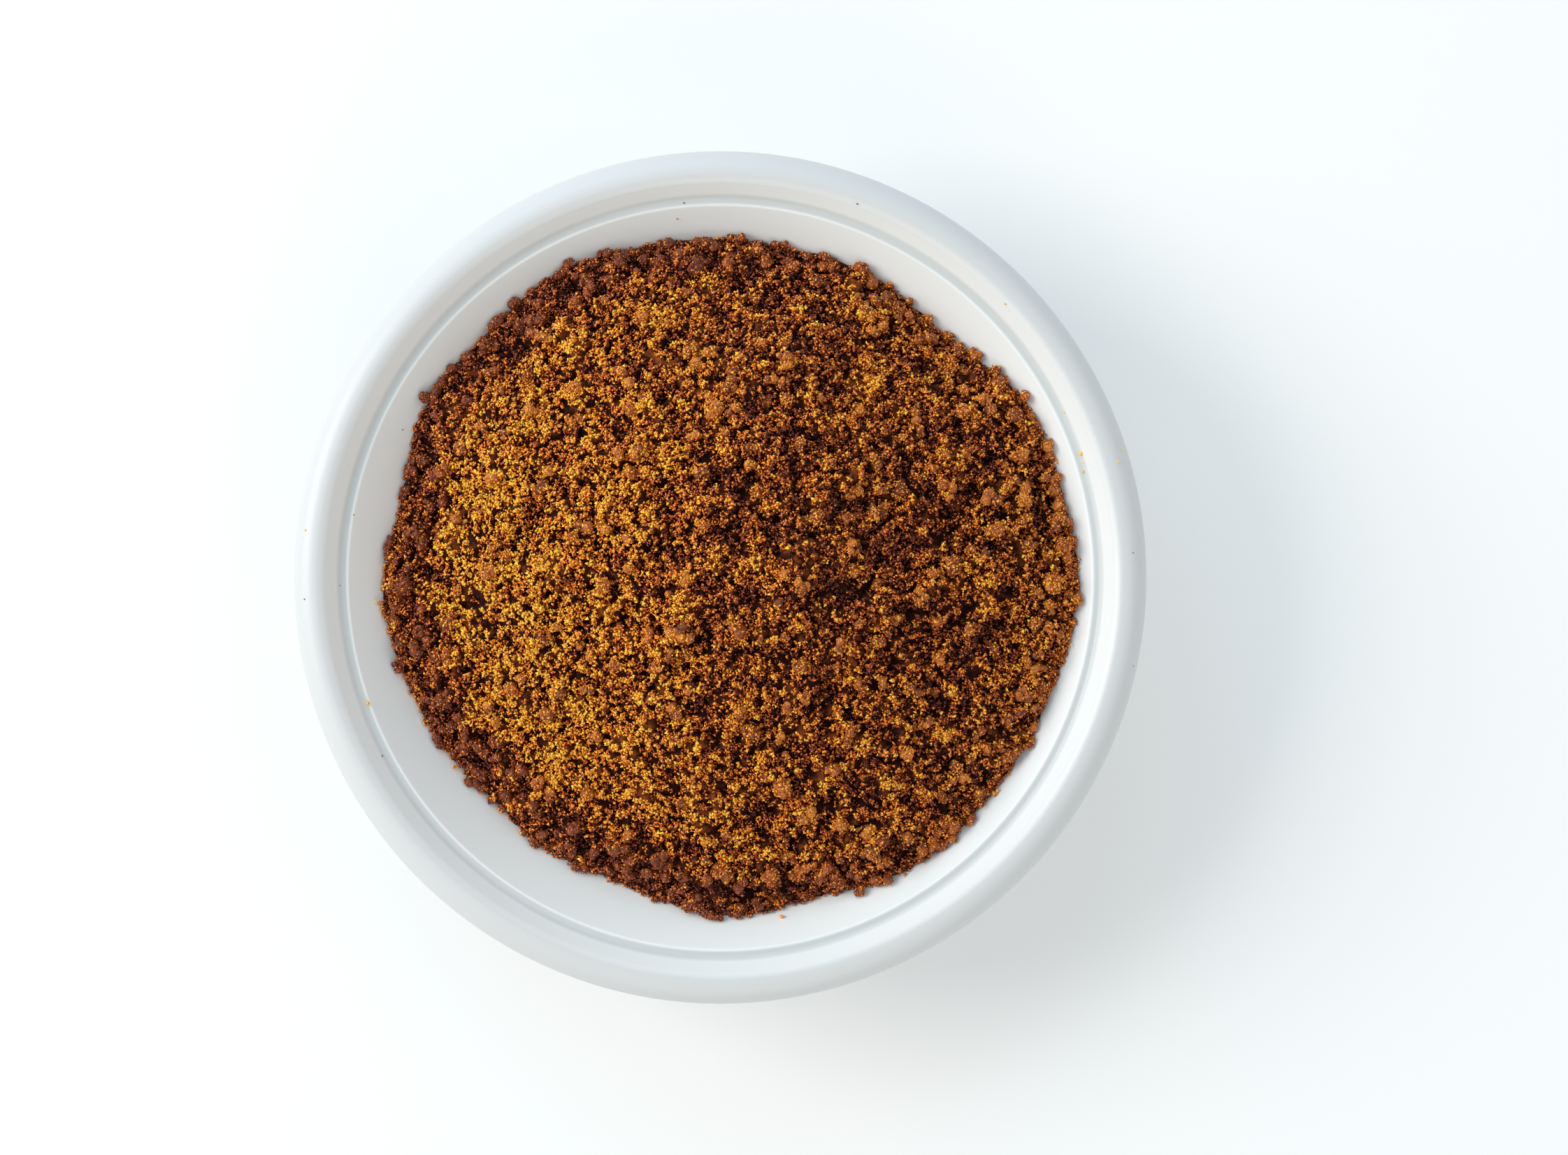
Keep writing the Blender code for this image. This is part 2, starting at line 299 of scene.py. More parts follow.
# the dark foot of the heap: partly painted shade of the bowl's rim, partly darker coarse lumps rolled
# there
footForm = {
    "border": 0.86,                  # share of the way to the edge
    "swing": 0.05,                   # of the border, which is further out on the right
    "outermost": (0.90, 0.20),
    "raggedness": 0.05,
    "raggedWidth": 7.0 * mm,
    "raggedPlace": 9.0,              # in the noise, as are the other places
    "fade": 0.08,
    "strength": 0.95,
    "weakerRight": 0.80,
}


def footPart(points):
    # 1 at the foot of the heap's left half, weaker on the right, 0 higher up, with an uneven border
    form = footForm
    radius = np.hypot(points[:, 0], points[:, 1])
    away = radius / edgeRadius(np.arctan2(points[:, 1], points[:, 0]))
    outward = points[:, :2] / radius[:, None]
    border = form["border"] + form["swing"] * outward @ form["outermost"]
    border = border + form["raggedness"] * noiseAt(points, form["raggedWidth"], form["raggedPlace"])
    strength = np.clip(form["strength"] - form["weakerRight"] * outward[:, 0], 0.0, 1.0)
    return np.clip((away - border) / form["fade"], 0.0, 1.0) * strength


# packed powder, which shows down in the crevices; its dark colour is painted shade of the crevices,
# darker where it lies lower
coreForm = {
    "across": 244,                   # mesh squares across the heap
    "underRings": (0.8, 0.6, 0.4, 0.2),
    "depth": 1.2 * mm,               # how far it lies under the loose grains
    "relief": (                      # width, height
        (5.0 * mm, 1.10 * mm), (2.4 * mm, 1.45 * mm), (1.15 * mm, 1.15 * mm)),
    "fineRelief": ((0.7 * mm, 0.20 * mm),),
    "reliefPlace": 3.0,
    "fade": (0.985, 0.015),          # where the relief starts to end, and over what share
    "raggedness": 1.1 * mm,          # of its edge
    "raggedWidth": 1.7 * mm,
    "raggedPlace": 8.0,
    "raggedOutward": 0.25,           # share of it that stands out all the way round
    "wallGap": 0.15 * mm,
}


def fadeOut(share, band):
    # 1 up to the band's start, 0 from its end
    return 1.0 - np.clip((share - band[0]) / band[1], 0.0, 1.0)


def looseness(points, parts):
    # how far the powder stands up or sinks in, clump by clump
    rise = np.zeros(len(points))
    for width, height in parts:
        rise += height * noiseAt(points, width, coreForm["reliefPlace"])
    return rise


def makeCore():
    count = coreForm["across"]
    line = np.linspace(-1.0, 1.0, count)
    a, b = (g.ravel() for g in np.meshgrid(line, line))
    share, turn = discPlace(a, b)
    base = heapPoint(share, turn)
    rise = looseness(base, coreForm["relief"] + coreForm["fineRelief"]) - coreForm["depth"]
    fade = fadeOut(share, coreForm["fade"])
    top = base + heapNormal(np.minimum(share, steepestShare), turn) * (rise * fade)[:, None]
    outward = unitRows(base * np.array((1.0, 1.0, 0.0)) + 1e-9)
    edgePart = np.clip(share * 10.0 - 9.0, 0.0, 1.0)  # the last tenth of the way
    ragged = noiseAt(base, coreForm["raggedWidth"], coreForm["raggedPlace"])
    ragged = ragged + coreForm["raggedOutward"]
    swing = coreForm["raggedness"] * edgePart * ragged
    top = keepOffBowl(top + outward * swing[:, None], coreForm["wallGap"])

    index = np.arange(count * count).reshape(count, count)
    quads = np.stack((index[:-1, :-1], index[:-1, 1:], index[1:, 1:], index[1:, :-1]), axis=-1)
    ring = np.concatenate((index[0, :-1], index[:-1, -1], index[-1, :0:-1], index[:0:-1, 0]))
    points = [top]
    faces = [quads.reshape(-1, 4)]
    outer = ring
    for reach in coreForm["underRings"]:
        under = top[ring] * np.array((reach, reach, 1.0))
        under[:, 2] = wallHeight(np.hypot(under[:, 0], under[:, 1]), heapForm["bowlGap"])
        start = sum(len(p) for p in points)
        inward = np.arange(start, start + len(ring))
        points.append(under)
        faces.append(np.stack((np.roll(outer, -1), outer, inward, np.roll(inward, -1)), axis=-1))
        outer = inward
    points.append(np.array([[0.0, 0.0, wallHeight(0.0, heapForm["bowlGap"])]]))
    last = np.full(len(outer[::2]), sum(len(p) for p in points) - 1)
    fan = (np.roll(outer, -1)[::2], outer[::2], np.roll(outer, 1)[::2], last)
    faces.append(np.stack(fan, axis=-1))
    mesh = meshFromArrays("powder_core", np.concatenate(points), np.concatenate(faces))
    under = len(mesh.vertices) - len(rise)
    # painted shade: the tone falls where the core lies lower, and its underside is darkest
    storeValue(mesh, "tone", np.concatenate((rise, np.full(under, -coreForm["depth"]))) / mm)
    mesh.polygons.foreach_set("use_smooth", np.ones(len(mesh.polygons), dtype=bool))
    return linkObject("powder_core", mesh)


powderCore = makeCore()
print("core made:", len(powderCore.data.polygons), "faces")


def solidShape(kind):
    # a small closed shape of radius about 1, as points and triangles
    bm = bmesh.new()
    if kind == "crystal":            # with four corners and four like faces
        bmesh.ops.create_cone(bm, segments=3, cap_ends=True, radius1=0.94, radius2=0.0, depth=1.33)
    else:
        bmesh.ops.create_icosphere(bm, subdivisions=2, radius=1.0)
    bmesh.ops.triangulate(bm, faces=bm.faces)
    points = np.array([v.co for v in bm.verts])
    faces = np.array([[v.index for v in f.verts] for f in bm.faces])
    bm.free()
    return points, faces


def randomTurns(count):
    # rotation matrices, evenly over all directions
    w, x, y, z = unitRows(draw.normal(size=(count, 4))).T
    return np.stack((
        np.stack((1 - 2 * (y * y + z * z), 2 * (x * y - w * z), 2 * (x * z + w * y)), axis=-1),
        np.stack((2 * (x * y + w * z), 1 - 2 * (x * x + z * z), 2 * (y * z - w * x)), axis=-1),
        np.stack((2 * (x * z - w * y), 2 * (y * z + w * x), 1 - 2 * (x * x + y * y)), axis=-1)), axis=1)


paintedLightSide = (-0.60, 0.15, 0.78)       # painted light: the crystals are painted paler on their sides towards the key lamp at the upper left


def joinShapes(name, shape, centres, radii, stretch, swing, tones, paintedTipLight=0.0):
    # one mesh of many copies, each turned, stretched and roughened, with its own tone
    points, faces = shape
    count = len(centres)
    local = points[None, :, :] * swing[:, :, None] * stretch[:, None, :]
    offsets = np.einsum("nij,nkj->nki", randomTurns(count), local)
    placed = offsets * radii[:, None, None] + centres[:, None, :]
    allFaces = faces[None, :, :] + (np.arange(count) * len(points))[:, None, None]
    mesh = meshFromArrays(name, placed.reshape(-1, 3), allFaces.reshape(-1, 3))
    # painted light and shade: each copy is paler on its side towards the key lamp and darker on the
    # other side
    shades = tones[:, None] + paintedTipLight * offsets @ paintedLightSide
    storeValue(mesh, "tone", np.clip(shades, 0.0, 1.0).ravel())
    return linkObject(name, mesh)


def roughSwing(shape, count, parts):
    # how far each point of each copy stands in or out, from noise of several widths
    swing = np.ones((count, len(shape[0])))
    offsets = draw.uniform(-50.0, 50.0, (count, 3))
    for width, height in parts:
        for index in range(count):
            swing[index] += height * noiseAt(shape[0], width, offsets[index])
    return swing


def discDraw(count, most):
    # random places on the heap, evenly by area
    a, b = draw.uniform(-1.0, 1.0, (2, count))
    share, turn = discPlace(a, b)
    return share * most, turn


# lumps of hard jaggery
lumpForm = {
    "footCount": 80, "faceCount": 72,            # the large ones, as in the solid heap
    "footBand": (0.87, 0.985), "faceBand": (0.10, 0.86),
    "largest": 4.4 * mm, "smallest": 1.9 * mm,
    "sizeFall": 0.6,                             # below 1, more of them are small
    "sizeSpread": (0.9, 1.08),
    "rise": 0.16, "riseSpread": (0.4, 1.0),
    "turnStep": 0.7549, "turnSpread": (-0.04, 0.04), "shareStep": 0.5698,
    "wallReach": (0.6, 0.25 * mm),               # off the wall: share of a size, and a gap
    "spacing": (0.5, 0.38),                      # shares of both sizes, or else one is left out
    "seed": 7,
    "drawsEach": 17,                             # that shaped each lump of the solid heap
    "largeRoughness": ((1.1, 0.30), (0.5, 0.30)),
    "knobs": 5,                                  # of a large lump
    "knobCore": 0.74,                            # the middle one, as a share of the lump's size
    "knobSize": (0.40, 0.62),                    # the others
    "smallCount": 1100,                          # and smaller ones between them, in groups
    "smallReach": 0.985,
    "smallOutermost": 0.999,                     # where the surface still has a height
    "smallFootPart": 0.60,
    "smallFootBand": (0.87, 0.16, 0.75),         # from, width, and below 1 more of them outside
    "smallSize": (0.9 * mm, 2.2 * mm),
    "smallSkew": 1.6,
    "smallLift": 0.22,
    "smallFade": (0.95, 0.04),
    "smallRoughness": ((1.0, 0.30), (0.5, 0.30)),
    "groupSize": 3,
    "groupSpacing": 0.42,
    "groupFlatness": 0.7,
    "length": 1.08, "width": (0.82, 1.0), "height": (0.74, 0.95),
    # darker at the heap's foot: partly painted shade of the bowl's rim
    "footDarkness": 0.8,
}


def largeLumpPlaces():
    # the same rule and seeded draws as the solid heap's
    form = lumpForm
    source = random.Random(form["seed"])
    places = []
    for count, band in ((form["footCount"], form["footBand"]), (form["faceCount"], form["faceBand"])):
        sizes = []
        for index in range(count):
            fall = (index / (count - 1)) ** form["sizeFall"]
            size = form["largest"] * (form["smallest"] / form["largest"]) ** fall
            sizes.append(size * source.uniform(*form["sizeSpread"]))
        for index, size in enumerate(sizes):
            turn = math.tau * index * form["turnStep"] + source.uniform(*form["turnSpread"])
            inner, outer = band[0] ** 2, band[1] ** 2
            share = math.sqrt(inner + (outer - inner) * ((0.5 + index * form["shareStep"]) % 1.0))
            place = (np.array([share]), np.array([turn]))
            lift = size * source.uniform(*form["riseSpread"]) * form["rise"]
            places.append((heapPoint(*place)[0] + heapNormal(*place)[0] * lift, size))
    kept = []
    keptSpacing, newSpacing = form["spacing"]
    wallShare, wallGap = form["wallReach"]
    for centre, size in places:
        centre = keepOffBowl(centre[None, :], wallGap + wallShare * size)[0]
        if all(np.linalg.norm(centre - c) >= keptSpacing * s + newSpacing * size for c, s in kept):
            kept.append((centre, size))
            for _ in range(form["drawsEach"]):
                source.random()
    return np.array([c for c, _ in kept]), np.array([s for _, s in kept])


def smallLumpPlaces():
    # fused in small groups; more than half of them lie along the foot
    form = lumpForm
    members = form["groupSize"]
    groups = form["smallCount"] // members
    share, turn = discDraw(groups, form["smallReach"])
    foot = draw.random(groups) < form["smallFootPart"]
    start, width, skew = form["smallFootBand"]
    share = np.where(foot, start + width * draw.random(groups) ** skew, share)
    low, high = form["smallSize"]
    sizes = low + (high - low) * draw.random((groups, members)) ** form["smallSkew"]
    base = heapPoint(np.minimum(share, form["smallOutermost"]), turn)
    base[:, :2] *= np.maximum(share, 1.0)[:, None]
    normals = heapNormal(np.minimum(share, steepestShare), turn)
    rise = looseness(base, coreForm["relief"]) * fadeOut(share, form["smallFade"])
    base = base + normals * (rise + form["smallLift"] * sizes[:, 0])[:, None]
    step = unitRows(draw.normal(size=(groups, members, 3)))
    upward = np.sum(step * normals[:, None, :], axis=-1, keepdims=True)
    step -= form["groupFlatness"] * upward * normals[:, None, :]
    step[:, 0] = 0.0
    centres = base[:, None, :] + step * form["groupSpacing"] * (sizes + sizes[:, :1])[:, :, None]
    centres, sizes = centres.reshape(-1, 3), sizes.ravel()
    return keepOffBowl(centres, 0.5 * sizes), sizes


def lumpTones(centres):
    # random tones, darker at the heap's foot: partly painted shade of the bowl's rim
    return draw.random(len(centres)) * (1.0 - lumpForm["footDarkness"] * footPart(centres))


def knobPlaces(places):
    # each large lump as a cluster of rough knobs about one core
    centres, sizes = places
    members = lumpForm["knobs"]
    count = len(sizes)
    step = unitRows(draw.normal(size=(count, members, 3)))
    step[:, 0] = 0.0
    knobs = sizes[:, None] * draw.uniform(*lumpForm["knobSize"], (count, members))
    knobs[:, 0] = lumpForm["knobCore"] * sizes
    reach = 0.5 * (sizes[:, None] - knobs)
    return (centres[:, None, :] + step * reach[:, :, None]).reshape(-1, 3), knobs.ravel()


def makeLumps(name, places, tones, roughness):
    centres, sizes = places
    count = len(sizes)
    shape = solidShape("lump")
    swing = roughSwing(shape, count, roughness)
    lengths = np.full(count, lumpForm["length"])
    widths = draw.uniform(*lumpForm["width"], count)
    heights = draw.uniform(*lumpForm["height"], count)
    stretch = np.stack((lengths, widths, heights), axis=-1)
    radii = 0.5 * sizes
    return joinShapes(name, shape, keepOffBowl(centres, radii), radii, stretch, swing, tones)


largePlaces = largeLumpPlaces()
largeTones = np.repeat(lumpTones(largePlaces[0]), lumpForm["knobs"])
largeLumps = makeLumps("large_lumps", knobPlaces(largePlaces), largeTones, lumpForm["largeRoughness"])
smallPlaces = smallLumpPlaces()
smallLumps = makeLumps("small_lumps", smallPlaces, lumpTones(smallPlaces[0]), lumpForm["smallRoughness"])
print("lumps made:", len(largePlaces[1]), "large and", len(smallPlaces[1]), "small")


# fine grains, stuck together in ragged clumps
crystalForm = {
    "clumps": 27000,
    "members": (2, 9),               # crystals in a clump
    "size": (0.36 * mm, 0.88 * mm),
    "sizeSkew": 1.3,                 # above 1, more of them are small
    "stretch": (0.8, 1.3),
    "roughness": (0.8, 1.2),         # how far each corner stands in or out
    "unevenness": 0.28 * mm,         # how far clumps stand higher or lower
    "sunk": 0.32 * mm,
    "flatness": 0.35,                # how much a clump keeps to the surface
    "lift": 0.12,                    # how much it grows up from it
    "closeness": 0.70,               # between touching crystals, in radii
    "perPiece": 48000,
    "reach": 1.014,                  # share of the way to the edge
    "edgePart": 0.08,                # more of them along the edge
    "edgeBand": (0.010, 0.05),       # past the reach, and how wide
    "reliefFade": (0.97, 0.03),
    "dustCount": 18000,              # crystals stuck on the lumps
    "dustSize": (0.34 * mm, 0.66 * mm),
    "dustUpward": 0.7,
    "dustDistance": 0.47,            # from a lump's middle, as a share of its size
}

# tones run from 0, dark brown, to 1, pale gold
toneForm = {
    "middle": 0.332,
    "clumpSpread": 0.09,
    "crystalSpread": 0.13,
    "relief": 0.46,                  # paler for each millimetre that the powder stands up: painted shade in its low places
    "height": 0.85,                  # paler for each millimetre within a clump: painted shade on a clump's lower crystals
    "paintedTipLight": 0.78,                # painted light, from a crystal's side away from the key lamp to its side towards it
    "darkest": -0.4,                 # below 0, so that the tips stay dark too
    "ridge": (-9.0 * mm, 7.0 * mm),  # the painted light on the left flank starts here
    "ridgeWidth": 5.0 * mm,
    "flankTowards": (0.97, 0.25),    # to the left and to the front
    # painted light on the flank towards the key lamp, painted shade on the far flank
    "flank": 0.38,
    "flankMiddle": (0.15, 0.64, 0.17),   # more painted light there: how much, where and how wide
    "rightEdge": (0.22, 3.0, 1.9),   # less painted shade out on the right edge: how much, how steeply, and from where
    "foot": 0.75,                    # darker: partly painted shade of the bowl's rim
    "clouds": ((4.0 * mm, 0.10, 2.0), (16.0 * mm, 0.09, 5.0)),  # width, height, place
    "dust": (0.6, 0.2),
    # the dust is darker at the foot too: partly painted shade of the bowl's rim
    "dustFoot": 0.6,
}


def paintedLightAndTone(base):
    # painted light on the left flank, which faces the key lamp, and painted shade on the right flank;
    # darker at the foot, partly painted shade of the bowl's rim; and clouds of random tone
    form = toneForm
    offset = base[:, :2] - np.array(form["ridge"])
    left, front = form["flankTowards"]
    distance = np.hypot(offset[:, 0], offset[:, 1]) + form["ridgeWidth"]
    side = (left * -offset[:, 0] - front * offset[:, 1]) / distance
    away = np.hypot(base[:, 0], base[:, 1]) / heapForm["edgeRadius"]
    part = form["flank"] * side - form["foot"] * footPart(base)
    amount, rise, start = form["rightEdge"]
    part += amount * np.clip(rise * away - start, 0.0, 1.0) * np.maximum(0.0, -side)
    amount, place, width = form["flankMiddle"]
    part += amount * np.exp(-((away - place) / width) ** 2) * np.maximum(0.0, side)
    for width, height, place in form["clouds"]:
        part = part + height * noiseAt(base, width, place)
    return part


def growClumps():
    # each clump grows crystal by crystal, every one stuck on an earlier one
    form = crystalForm
    count = form["clumps"]
    fewest, most = form["members"]
    share, turn = discDraw(count, form["reach"])
    edge = draw.random(count) < form["edgePart"]
    overhang, band = form["edgeBand"]
    share = np.where(edge, form["reach"] + overhang - band * draw.random(count), share)
    normals = heapNormal(np.minimum(share, steepestShare), turn)
    base = heapPoint(share, turn)
    rise = draw.normal(0.0, form["unevenness"], count) - form["sunk"]
    rise += looseness(base, coreForm["relief"]) * fadeOut(share, form["reliefFade"])
    low, high = form["size"]
    radii = 0.5 * (low + (high - low) * draw.random((count, most)) ** form["sizeSkew"])
    centres = np.zeros((count, most, 3))
    centres[:, 0] = base + normals * rise[:, None]
    row = np.arange(count)
    for member in range(1, most):
        parent = draw.integers(0, member, count)
        aim = unitRows(draw.normal(size=(count, 3)))
        upward = np.sum(aim * normals, axis=-1, keepdims=True)
        aim = unitRows(aim - form["flatness"] * upward * normals + form["lift"] * normals)
        reach = form["closeness"] * (radii[row, parent] + radii[:, member])
        centres[:, member] = centres[row, parent] + aim * reach[:, None]
    members = draw.integers(fewest, most + 1, count)
    shown = np.arange(most)[None, :] < members[:, None]
    tones = clumpTones(base, rise, centres, normals, radii.shape)
    return centres[shown], radii[shown], np.clip(tones[shown], toneForm["darkest"], 1.0)


def clumpTones(base, rise, centres, normals, size):
    # painted shade: darker where the powder sinks in and on the lower crystals of each clump, paler
    # where it stands up and on top
    height = np.sum((centres - centres[:, :1]) * normals[:, None, :], axis=-1)
    tone = draw.normal(0.0, toneForm["clumpSpread"], len(base))
    tone = tone + paintedLightAndTone(base) + toneForm["relief"] * rise / mm
    tones = toneForm["middle"] + tone[:, None] + draw.normal(0.0, toneForm["crystalSpread"], size)
    return tones + toneForm["height"] * height / mm


def makeCrystals(name, centres, radii, tones):
    shape = solidShape("crystal")
    count = len(radii)
    stretch = draw.uniform(*crystalForm["stretch"], (count, 3))
    swing = draw.uniform(*crystalForm["roughness"], (count, len(shape[0])))
    centres = keepOffBowl(centres, radii)
    return joinShapes(name, shape, centres, radii, stretch, swing, tones, toneForm["paintedTipLight"])


def sortCrystals():
    # pieces by tone, from golden to brown
    names = ("golden_crystals", "amber_crystals", "brown_crystals")
    centres, radii, tones = growClumps()
    order = np.argsort(-tones)
    every = crystalForm["perPiece"]
    most = len(names) * every
    print("crystals grown:", len(order), "of which used", min(len(order), most))
    if len(order) > most:
        order = order[np.sort(draw.choice(len(order), most, replace=False))]
    pieces = []
    for number, name in enumerate(names):
        part = order[number * every:(number + 1) * every]
        pieces.append(makeCrystals(name, centres[part], radii[part], tones[part]))
    return pieces


def dustLumps():
    # golden crystals on the upper sides of the lumps
    lumpCentres = np.concatenate((largePlaces[0], smallPlaces[0]))
    lumpSizes = np.concatenate((largePlaces[1], smallPlaces[1]))
    count = crystalForm["dustCount"]
    weights = lumpSizes ** 2
    which = draw.choice(len(lumpSizes), count, p=weights / weights.sum())
    upward = np.array((0.0, 0.0, crystalForm["dustUpward"]))
    aim = unitRows(draw.normal(size=(count, 3)) + upward)
    distance = crystalForm["dustDistance"] * lumpSizes[which]
    centres = lumpCentres[which] + aim * distance[:, None]
    low, high = crystalForm["dustSize"]
    radii = 0.5 * (low + (high - low) * draw.random(count))
    # darker at the heap's foot: partly painted shade of the bowl's rim
    tones = draw.normal(*toneForm["dust"], count) - toneForm["dustFoot"] * footPart(centres)
    return makeCrystals("lump_dust", centres, radii, np.clip(tones, toneForm["darkest"], 1.0))


crystalPieces = sortCrystals() + [dustLumps()]


def makeBowl():
    bm = bmesh.new()
    last = None
    for x, z in bowlSection():
        vertex = bm.verts.new((x, 0.0, z))
        if last is not None:
            bm.edges.new((last, vertex))
        last = vertex
    mesh = bpy.data.meshes.new("glazed_bowl")
    bm.to_mesh(mesh)
    bm.free()
    bowl = linkObject("glazed_bowl", mesh)
    turned = bowl.modifiers.new("turned", "SCREW")
    turned.axis = "Z"
    turned.steps = bowlForm["steps"]
    turned.render_steps = bowlForm["steps"]
    turned.use_merge_vertices = True
    turned.merge_threshold = bowlForm["mergeDistance"]
    turned.use_smooth_shade = True
    return bowl


glazedBowl = makeBowl()
print("bowl made")


# crumbs that lie loose on the bowl
strayForm = {
    "places": (                      # x, y, size in mm, and tone
        (-61.9, -22.1, 0.80, 0.95), (-72.5, 8.3, 0.36, 1.0), (-72.6, -3.8, 0.22, 0.1),
        (-64.4, 11.0, 0.20, 0.1), (10.8, -60.0, 0.85, 0.8), (63.3, 21.8, 0.70, 1.0),
        (63.8, 20.2, 0.30, 1.0), (63.7, 18.6, 0.42, 0.95), (69.6, 20.3, 0.42, 1.0),
        (60.4, 29.0, 0.34, 1.0), (24.0, 65.2, 0.30, 0.2), (-6.4, 65.8, 0.28, 0.2),
        (-7.6, 63.2, 0.35, 0.5), (72.2, 4.3, 0.24, 0.1), (-56.2, 26.1, 0.30, 0.3),
        (49.8, 47.8, 0.40, 0.9), (70.3, 22.6, 0.28, 1.0), (-66.8, -1.4, 0.22, 0.1),
        (-59.3, -31.3, 0.28, 0.1), (72.4, -15.5, 0.18, 0.2)),
    "roughness": ((0.8, 0.36), (0.38, 0.3)),
    "stretch": (0.75, 1.1),
    "lift": 0.42,                    # of a crumb's middle above the glaze, as a share of its size
}


def makeStrays():
    places = np.array(strayForm["places"])
    sizes = places[:, 2] * mm
    heights = np.array([restingHeight(math.hypot(x, y) * mm) for x, y in places[:, :2]])
    heights = heights + strayForm["lift"] * sizes
    centres = np.stack((places[:, 0] * mm, places[:, 1] * mm, heights), axis=-1)
    count = len(sizes)
    shape = solidShape("lump")
    swing = roughSwing(shape, count, strayForm["roughness"])
    stretch = draw.uniform(*strayForm["stretch"], (count, 3))
    return joinShapes("stray_crumbs", shape, centres, 0.5 * sizes, stretch, swing, places[:, 3])


strayCrumbs = makeStrays()
print("stray crumbs made")


def newMaterial(name):
    material = bpy.data.materials.new(name)
    material.use_nodes = True
    return material, material.node_tree.nodes, material.node_tree.links


def addRamp(nodes, stops):
    ramp = nodes.new("ShaderNodeValToRGB")
    elements = ramp.color_ramp.elements
    while len(elements) > 1:
        elements.remove(elements[-1])
    elements[0].position = stops[0][0]
    elements[0].color = (*stops[0][1], 1.0)
    for position, colour in stops[1:]:
        elements.new(position).color = (*colour, 1.0)
    return ramp


def grainGroup():
    # fine grain: a mask of crystals and a height for the bump, from the place on the object
    group = bpy.data.node_groups.new("sugarGrain", "ShaderNodeTree")
    group.interface.new_socket("Crystal Width", in_out="INPUT", socket_type="NodeSocketFloat")
    group.interface.new_socket("Unevenness", in_out="INPUT", socket_type="NodeSocketFloat")
    group.interface.new_socket("Mask", in_out="OUTPUT", socket_type="NodeSocketFloat")
    group.interface.new_socket("Height", in_out="OUTPUT", socket_type="NodeSocketFloat")
    nodes, links = group.nodes, group.links
    start = nodes.new("NodeGroupInput")
    end = nodes.new("NodeGroupOutput")
    place = nodes.new("ShaderNodeTexCoord")
    scale = nodes.new("ShaderNodeMath")
    scale.operation = "DIVIDE"
    scale.inputs[0].default_value = 1.0
    links.new(start.outputs["Crystal Width"], scale.inputs[1])
    cells = nodes.new("ShaderNodeTexVoronoi")
    links.new(place.outputs["Object"], cells.inputs["Vector"])
    links.new(scale.outputs[0], cells.inputs["Scale"])
    cloud = nodes.new("ShaderNodeTexNoise")
    cloud.inputs["Detail"].default_value = 4.0
    links.new(place.outputs["Object"], cloud.inputs["Vector"])
    links.new(scale.outputs[0], cloud.inputs["Scale"])
    blend = nodes.new("ShaderNodeMix")
    links.new(start.outputs["Unevenness"], blend.inputs["Factor"])
    links.new(cells.outputs["Distance"], blend.inputs["A"])
    links.new(cloud.outputs["Fac"], blend.inputs["B"])
    flip = nodes.new("ShaderNodeMath")
    flip.operation = "SUBTRACT"
    flip.inputs[0].default_value = 1.0
    links.new(blend.outputs["Result"], flip.inputs[1])
    links.new(flip.outputs[0], end.inputs["Height"])
    links.new(cloud.outputs["Fac"], end.inputs["Mask"])
    return group


sugarGrain = grainGroup()


def jaggeryMaterial(name, look):
    # colour from each grain's own tone, broken up by fine grain
    material, nodes, links = newMaterial(name)
    shader = nodes["Principled BSDF"]
    shader.inputs["Specular IOR Level"].default_value = look["gloss"]
    value = nodes.new("ShaderNodeAttribute")
    value.attribute_name = "tone"
    grain = nodes.new("ShaderNodeGroup")
    grain.node_tree = sugarGrain
    grain.inputs["Crystal Width"].default_value = look["crystalWidth"]
    grain.inputs["Unevenness"].default_value = look["unevenness"]
    spread = nodes.new("ShaderNodeMapRange")
    spread.inputs["From Min"].default_value = look["from"][0]
    spread.inputs["From Max"].default_value = look["from"][1]
    links.new(value.outputs["Fac"], spread.inputs["Value"])
    mix = nodes.new("ShaderNodeMix")
    mix.inputs["Factor"].default_value = look["breakUp"]
    links.new(spread.outputs["Result"], mix.inputs["A"])
    contrast = nodes.new("ShaderNodeMapRange")
    contrast.inputs["From Min"].default_value = look["grainSpan"][0]
    contrast.inputs["From Max"].default_value = look["grainSpan"][1]
    links.new(grain.outputs["Mask"], contrast.inputs["Value"])
    links.new(contrast.outputs["Result"], mix.inputs["B"])
    ramp = addRamp(nodes, look["stops"])
    links.new(mix.outputs["Result"], ramp.inputs["Fac"])
    links.new(ramp.outputs["Color"], shader.inputs["Base Color"])
    rough = nodes.new("ShaderNodeMapRange")
    rough.inputs["To Min"].default_value = look["roughness"][0]
    rough.inputs["To Max"].default_value = look["roughness"][1]
    links.new(grain.outputs["Mask"], rough.inputs["Value"])
    links.new(rough.outputs["Result"], shader.inputs["Roughness"])
    bump = nodes.new("ShaderNodeBump")
    bump.inputs["Strength"].default_value = look["bump"]
    bump.inputs["Distance"].default_value = look["crystalWidth"] * 0.5
    links.new(grain.outputs["Height"], bump.inputs["Height"])
    links.new(bump.outputs["Normal"], shader.inputs["Normal"])
    return material


